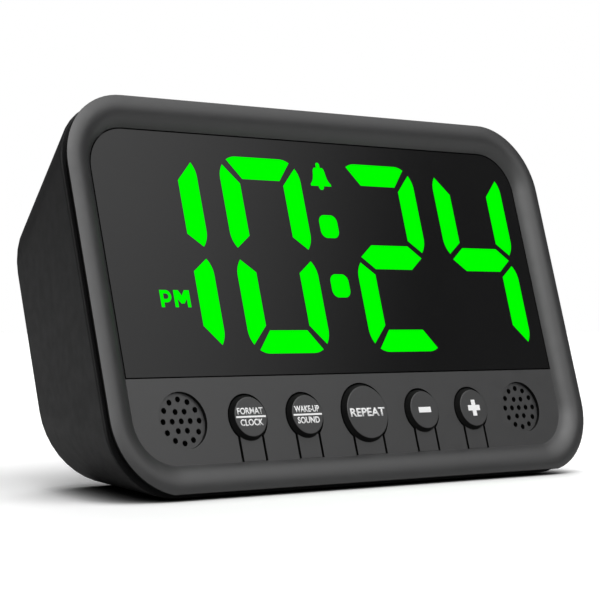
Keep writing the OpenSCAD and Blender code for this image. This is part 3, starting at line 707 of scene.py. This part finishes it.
def new_piece(name: str, shape: bmesh.types.BMesh, finish: Finish, body: str) -> bpy.types.Object:
    """Makes an object at the origin from a finished shape, and lets it ride on a body.

    Args:
        name: The piece's name.
        shape: Its mesh, in the row frame; it is freed.
        finish: Its finish.
        body: The CAD body that it moves with.

    Returns:
        The new object.
    """
    mesh = bpy.data.meshes.new(name)
    shape.to_mesh(mesh)
    shape.free()
    mesh.materials.append(finish.material())
    piece = bpy.data.objects.new(name, mesh)
    bpy.context.scene.collection.objects.link(piece)
    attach(piece, body)
    LOG.info("%s rides on %s with %d faces", name, body, len(mesh.polygons))
    return piece


def raise_faces(
    shape: bmesh.types.BMesh, faces: list[bmesh.types.BMFace], height: float,
) -> list[bmesh.types.BMVert]:
    """Turns flat faces into a closed plate whose top lies that much above them.

    Args:
        shape: The mesh that holds the faces.
        faces: Flat faces on the drawing plane.
        height: The plate's thickness, in metres.

    Returns:
        The corners of the plate's top.
    """
    made = bmesh.ops.extrude_face_region(shape, geom=faces, use_keep_orig=True)["geom"]
    top = [item for item in made if isinstance(item, bmesh.types.BMVert)]
    bmesh.ops.translate(shape, verts=top, vec=(0.0, 0.0, height))
    return top


@dataclass
class Legend:
    """White print on one key's cap: words, a rule between two lines, or a sign."""

    key: Key
    lines: tuple[str, ...] = ()
    line_height: float = 1.5 * MM
    line_widths: tuple[float, ...] = (7.2 * MM, 6.4 * MM)
    line_pitch: float = 2.55 * MM
    rule: Range = (8.3 * MM, 0.4 * MM)
    rule_corner: float = 0.08 * MM
    sign: float = 3.9 * MM
    boldness: float = 0.028
    curve_steps: int = 6
    weld: float = 1e-5
    film: float = 0.03 * MM
    sunk: float = 0.01 * MM

    def words(self, text: str, width: float, middle: float) -> bmesh.types.BMesh:
        """One line of words as flat faces, fitted to the line's width and height.

        Args:
            text: The words.
            width: The line's width.
            middle: Height of the line's middle above the cap's middle.

        Returns:
            The line's faces on the drawing plane.
        """
        curve = bpy.data.curves.new("words", "FONT")
        curve.body = text
        curve.offset = self.boldness
        curve.resolution_u = self.curve_steps
        holder = bpy.data.objects.new("words", curve)
        bpy.context.scene.collection.objects.link(holder)
        bpy.context.view_layer.update()
        mesh = bpy.data.meshes.new_from_object(holder.evaluated_get(bpy.context.evaluated_depsgraph_get()))
        bpy.data.objects.remove(holder)
        shape = bmesh.new()
        shape.from_mesh(mesh)
        bpy.data.meshes.remove(mesh)
        bmesh.ops.remove_doubles(shape, verts=shape.verts[:], dist=self.weld)
        xs = [vertex.co.x for vertex in shape.verts]
        ys = [vertex.co.y for vertex in shape.verts]
        wide, tall = max(xs) - min(xs), max(ys) - min(ys)
        centre = Vector(((max(xs) + min(xs)) / 2, (max(ys) + min(ys)) / 2, 0.0))
        bmesh.ops.translate(shape, verts=shape.verts[:], vec=-centre)
        bmesh.ops.scale(shape, verts=shape.verts[:], vec=(width / wide, self.line_height / tall, 1.0))
        bmesh.ops.translate(shape, verts=shape.verts[:], vec=(0.0, middle, 0.0))
        return shape

    def bar(self) -> bmesh.types.BMesh:
        """The rule between two lines, with its corners rounded.

        Returns:
            The rule's face on the drawing plane.
        """
        shape = bmesh.new()
        bmesh.ops.create_grid(shape, x_segments=1, y_segments=1, size=0.5)
        bmesh.ops.scale(shape, verts=shape.verts[:], vec=(*self.rule, 1.0))
        bmesh.ops.bevel(
            shape, geom=shape.verts[:], offset=self.rule_corner,
            affect="VERTICES", segments=2, profile=0.5, material=-1,
        )
        return shape

    def cross(self) -> bmesh.types.BMesh:
        """The plus or minus sign, cut from a grid of three by three cells.

        Returns:
            The sign's faces on the drawing plane.
        """
        shape = bmesh.new()
        bmesh.ops.create_grid(shape, x_segments=3, y_segments=3, size=self.sign / 2)
        arm = self.sign / 4
        spare = []
        for face in shape.faces:
            centre = face.calc_center_median()
            off_row = abs(centre.y) > arm
            off_column = abs(centre.x) > arm
            if off_row and (off_column or self.key is Key.MINUS):
                spare.append(face)
        bmesh.ops.delete(shape, geom=spare, context="FACES")
        return shape

    def drawing(self) -> list[bmesh.types.BMesh]:
        """Draws the legend.

        Returns:
            All its flat drawings.
        """
        if not self.lines:
            return [self.cross()]
        if len(self.lines) == 1:
            return [self.words(self.lines[0], self.line_widths[0], 0.0)]
        middles = (self.line_pitch / 2, -self.line_pitch / 2)
        return [self.bar(), *map(self.words, self.lines, self.line_widths, middles)]

    def build(self, face: FacePlane, cap: bpy.types.Object) -> bpy.types.Object:
        """Prints the legend on a cap.

        Args:
            face: The clock's face.
            cap: The key's CAD node.

        Returns:
            The legend's piece.
        """
        low, high = face.reach(cap)
        middle = Vector(((low.x + high.x) / 2, high.y - (high.x - low.x) / 2, high.z - self.sunk))
        whole = bmesh.new()
        for drawing in self.drawing():
            raise_faces(drawing, drawing.faces[:], self.film)
            bmesh.ops.recalc_face_normals(drawing, faces=drawing.faces[:])
            mesh = bpy.data.meshes.new("drawing")
            drawing.to_mesh(mesh)
            drawing.free()
            whole.from_mesh(mesh)
            bpy.data.meshes.remove(mesh)
        bmesh.ops.transform(whole, matrix=face.place @ Matrix.Translation(middle), verts=whole.verts[:])
        return new_piece(f"{self.key.value}_legend", whole, WHITE_INK, f"{self.key.value}_key")


@dataclass
class ControlStrip:
    """The legends of the five keys."""

    legends: tuple[Legend, ...] = (
        Legend(Key.TIME, ("FORMAT", "CLOCK")),
        Legend(Key.ALARM, ("WAKE-UP", "SOUND")),
        Legend(Key.SNOOZE, ("REPEAT",), line_height=2.0 * MM, line_widths=(10.6 * MM,)),
        Legend(Key.MINUS),
        Legend(Key.PLUS),
    )

    def build(self, face: FacePlane, nodes: dict[str, bpy.types.Object]) -> None:
        """Prints every legend on its key.

        Args:
            face: The clock's face.
            nodes: The CAD nodes.
        """
        for legend in self.legends:
            legend.build(face, nodes[f"{legend.key.value}_key"])


@dataclass
class RearShell:
    """The rear housing with smooth corners, and the ridges and arrow on its battery door."""

    merge: float = 0.001 * MM
    flat_angle: float = math.radians(0.3)
    sharp_angle: float = math.radians(40.0)
    ridge_count: int = 5
    ridge: Triple = (11.0 * MM, 0.7 * MM, 0.5 * MM)
    ridge_round: float = 0.2 * MM
    ridge_pitch: float = 1.6 * MM
    ridge_drop: float = 5.5 * MM
    arrow: float = 2.4 * MM
    arrow_drop: float = 16.0 * MM

    def skin(self, node: bpy.types.Object) -> bpy.types.Object:
        """A copy of the housing's solid whose corners shade as smooth curves.

        Args:
            node: The housing's CAD node.

        Returns:
            The piece that stands for it.
        """
        shape = bmesh.new()
        shape.from_mesh(node.data)
        bmesh.ops.remove_doubles(shape, verts=shape.verts[:], dist=self.merge)
        bmesh.ops.dissolve_limit(
            shape, angle_limit=self.flat_angle, verts=shape.verts[:], edges=shape.edges[:],
        )
        for surface in shape.faces:
            surface.smooth = True
        for edge in shape.edges:
            edge.smooth = len(edge.link_faces) == 2 and edge.calc_face_angle() < self.sharp_angle
        piece = new_piece("housing_shell", shape, HOUSING, "case")
        custom = piece.data.attributes.get("custom_normal")
        if custom:
            piece.data.attributes.remove(custom)
        weights = piece.modifiers.new("even_shading", "WEIGHTED_NORMAL")
        weights.keep_sharp = True
        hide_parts("rear_housing")
        return piece

    def grips(self, face: FacePlane, door: bpy.types.Object) -> bpy.types.Object:
        """Raised ridges and an arrow that show where the door is pushed open.

        Args:
            face: The clock's face, whose axes the door shares.
            door: The door's CAD node.

        Returns:
            The piece on the door.
        """
        low, high = face.reach(door)
        whole = bmesh.new()
        for count in range(self.ridge_count):
            made = bmesh.ops.create_cube(whole, size=1.0)["verts"]
            bmesh.ops.scale(whole, verts=made, vec=self.ridge)
            height = high.y - self.ridge_drop - count * self.ridge_pitch
            bmesh.ops.translate(whole, verts=made, vec=(0.0, height, low.z))
        edges = [edge for edge in whole.edges if all(vertex.co.z < low.z for vertex in edge.verts)]
        bmesh.ops.bevel(
            whole, geom=edges, offset=self.ridge_round,
            affect="EDGES", segments=3, profile=0.5, material=-1,
        )
        thick = self.ridge[2] / 2
        tip = bmesh.ops.create_circle(whole, cap_ends=True, segments=3, radius=self.arrow)["verts"]
        raised = raise_faces(whole, list(tip[0].link_faces), thick)
        spot = (0.0, high.y - self.arrow_drop, low.z - thick / 2)
        bmesh.ops.translate(whole, verts=[*tip, *raised], vec=spot)
        bmesh.ops.recalc_face_normals(whole, faces=whole.faces[:])
        bmesh.ops.transform(whole, matrix=face.place, verts=whole.verts[:])
        return new_piece("door_grips", whole, HOUSING, "battery_door")


@dataclass
class Dressing:
    """The finish of every CAD node that shows its own solid."""

    finishes: dict[str, Finish] = field(default_factory=lambda: {
        "front_bezel": BEZEL, "rear_housing": HOUSING, "battery_door": HOUSING,
        "display_panel": PANEL, "dark_segments": PANEL, "panel_tape": FOAM,
        "hour_tens": GREEN, "hour_units": GREEN, "minute_tens": GREEN, "minute_units": GREEN,
        "colon_dots": GREEN, "bell_sign": GREEN, "pm_sign": GREEN,
        "light_box": WHITE, "led_chips": RESIN, "main_board": MASK, "receiver_board": MASK,
        "switch_bodies": STEEL, "quartz_crystal": STEEL, "board_screws": STEEL, "housing_screws": STEEL,
        "bridge_contact": STEEL, "positive_contact": STEEL, "negative_contact": STEEL,
        "left_basket": BLACK, "right_basket": BLACK, "receiver_header": BLACK, "control_chip": BLACK,
        "power_socket": BLACK, "left_cone": PAPER, "right_cone": PAPER,
        "left_magnet": PLATED, "right_magnet": PLATED, "speaker_terminals": BRASS, "socket_pin": BRASS,
        "ferrite_rod": FERRITE, "aerial_winding": COPPER, "aerial_leads": COPPER,
        "capacitor": SLEEVE, "battery_cells": CELL, "battery_leads": RED, "socket_leads": DARK,
        "rubber_feet": RUBBER,
    })

    def build(self, nodes: dict[str, bpy.types.Object]) -> None:
        """Gives each node its material.

        Args:
            nodes: The CAD nodes.
        """
        for key in Key:
            self.finishes[f"{key.value}_key"] = KEYS
            self.finishes[f"{key.value}_plunger"] = BLACK
        for name, node in nodes.items():
            node.data.materials.clear()
            node.data.materials.append(self.finishes[name].material())
        LOG.info("%d nodes dressed", len(nodes))


def toward(azimuth: float, elevation: float) -> Vector:
    """Finds a direction from the clock.

    Args:
        azimuth: Degrees to the right of its front.
        elevation: Degrees above the table.

    Returns:
        The direction, of length 1.
    """
    turn, rise = math.radians(azimuth), math.radians(elevation)
    return Vector((math.sin(turn) * math.cos(rise), -math.cos(turn) * math.cos(rise), math.sin(rise)))


@dataclass(frozen=True)
class SoftLight:
    """One broad soft source in the sky of the studio.

    The edge and the full light are cosines of the angle from its middle.
    """

    azimuth: float
    elevation: float
    strength: float
    edge: float = 0.74
    full: float = 0.99


@dataclass
class Studio:
    """White surroundings with broad soft light, a pale floor and the camera."""

    lights: tuple[SoftLight, ...] = (
        SoftLight(-26.0, 42.0, 2.3),
        SoftLight(30.0, 30.0, 1.24, 0.9455, 0.9945),
        SoftLight(34.0, 65.0, 1.5),
        SoftLight(138.0, 34.0, 3.6, 0.87, 0.99),
    )
    ambient: float = 0.02
    gloss_share: float = 0.05
    floor_size: float = 4.0
    floor_seen: float = 1.2
    floor_light: float = 0.45
    # How far the floor's painted contact shadow reaches, in metres
    painted_shadow_reach: float = 0.01
    camera_at: Triple = (-0.31599, -0.37035, 0.03801)
    camera_azimuth: float = -40.688
    camera_elevation: float = -0.524
    lens: float = 122.98
    sensor: float = 36.0
    nearest: float = 0.01

    def sky(self) -> None:
        """Lights the clock from a soft sky that the camera sees as white."""
        world = bpy.data.worlds.new("studio")
        bpy.context.scene.world = world
        world.use_nodes = True
        wiring = Wiring(world.node_tree)
        background = wiring.tree.nodes["Background"]
        background.inputs["Color"].default_value = (1.0, 1.0, 1.0, 1.0)
        ray = wiring.node("ShaderNodeTexCoord").outputs["Generated"]
        level: Socket | float = self.ambient
        for light in self.lights:
            aim = wiring.dot(ray, toward(light.azimuth, light.elevation))
            glow = wiring.spread(aim, (0.0, light.strength), (light.edge, light.full), "SMOOTHSTEP")
            level = wiring.arithmetic("ADD", level, glow)
        path = wiring.node("ShaderNodeLightPath").outputs
        gloss = wiring.arithmetic("MULTIPLY", path["Is Glossy Ray"], self.gloss_share)
        seen = wiring.arithmetic("MAXIMUM", path["Is Camera Ray"], path["Is Transmission Ray"])
        white = wiring.arithmetic("MAXIMUM", seen, gloss)
        rest = wiring.arithmetic("MULTIPLY", wiring.arithmetic("SUBTRACT", 1.0, white), level)
        wiring.feed(background.inputs["Strength"], wiring.arithmetic("ADD", rest, white))

    def floor(self) -> None:
        """A pale floor that the camera sees as white round the clock's shadow, with a painted contact
        shadow: its seen colour darkens by ambient occlusion close to the clock.
        """
        shape = bmesh.new()
        bmesh.ops.create_grid(shape, x_segments=1, y_segments=1, size=self.floor_size)
        mesh = bpy.data.meshes.new("floor")
        shape.to_mesh(mesh)
        shape.free()
        material = bpy.data.materials.new("pale_floor")
        material.use_nodes = True
        wiring = Wiring(material.node_tree)
        wiring.tree.nodes.remove(wiring.tree.nodes["Principled BSDF"])
        # Painted contact shadow: the colour that the camera sees darkens by ambient occlusion within the
        # reach set above.
        contact = wiring.node("ShaderNodeAmbientOcclusion")
        contact.inputs["Color"].default_value = (self.floor_seen, self.floor_seen, self.floor_seen, 1.0)
        contact.inputs["Distance"].default_value = self.painted_shadow_reach
        seen = wiring.node("ShaderNodeLightPath").outputs["Is Camera Ray"]
        grey = (self.floor_light, self.floor_light, self.floor_light)
        matte = wiring.node("ShaderNodeBsdfDiffuse")
        wiring.feed(matte.inputs["Color"], wiring.blend(seen, grey, contact.outputs["Color"]))
        wiring.feed(wiring.tree.nodes["Material Output"].inputs["Surface"], matte.outputs["BSDF"])
        mesh.materials.append(material)
        floor = bpy.data.objects.new("floor", mesh)
        bpy.context.scene.collection.objects.link(floor)

    def camera(self) -> None:
        """The camera at the photograph's angle."""
        data = bpy.data.cameras.new("camera")
        data.sensor_width = self.sensor
        data.lens = self.lens
        data.clip_start = self.nearest
        camera = bpy.data.objects.new("camera", data)
        camera.location = self.camera_at
        back = toward(self.camera_azimuth, self.camera_elevation)
        camera.rotation_euler = (-back).to_track_quat("-Z", "Y").to_euler()
        bpy.context.scene.collection.objects.link(camera)
        bpy.context.scene.camera = camera

    def build(self) -> None:
        """Sets up the camera, the floor and the light."""
        bpy.context.scene.view_settings.view_transform = "Standard"
        self.camera()
        self.floor()
        self.sky()


def clear_scene() -> None:
    """Removes what Blender starts with."""
    for item in bpy.data.objects[:]:
        bpy.data.objects.remove(item)


def main() -> None:
    """Builds the clock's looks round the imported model, piece by piece."""
    logging.basicConfig(level=logging.INFO, format="%(name)s: %(message)s")
    clear_scene()
    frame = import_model()
    face = FacePlane.from_joints(frame["joints"])
    Studio().build()
    Dressing().build(frame["nodes"])
    ControlStrip().build(face, frame["nodes"])
    shell = RearShell()
    shell.skin(frame["nodes"]["rear_housing"])
    shell.grips(face, frame["nodes"]["battery_door"])


if __name__ == "__main__":
    main()
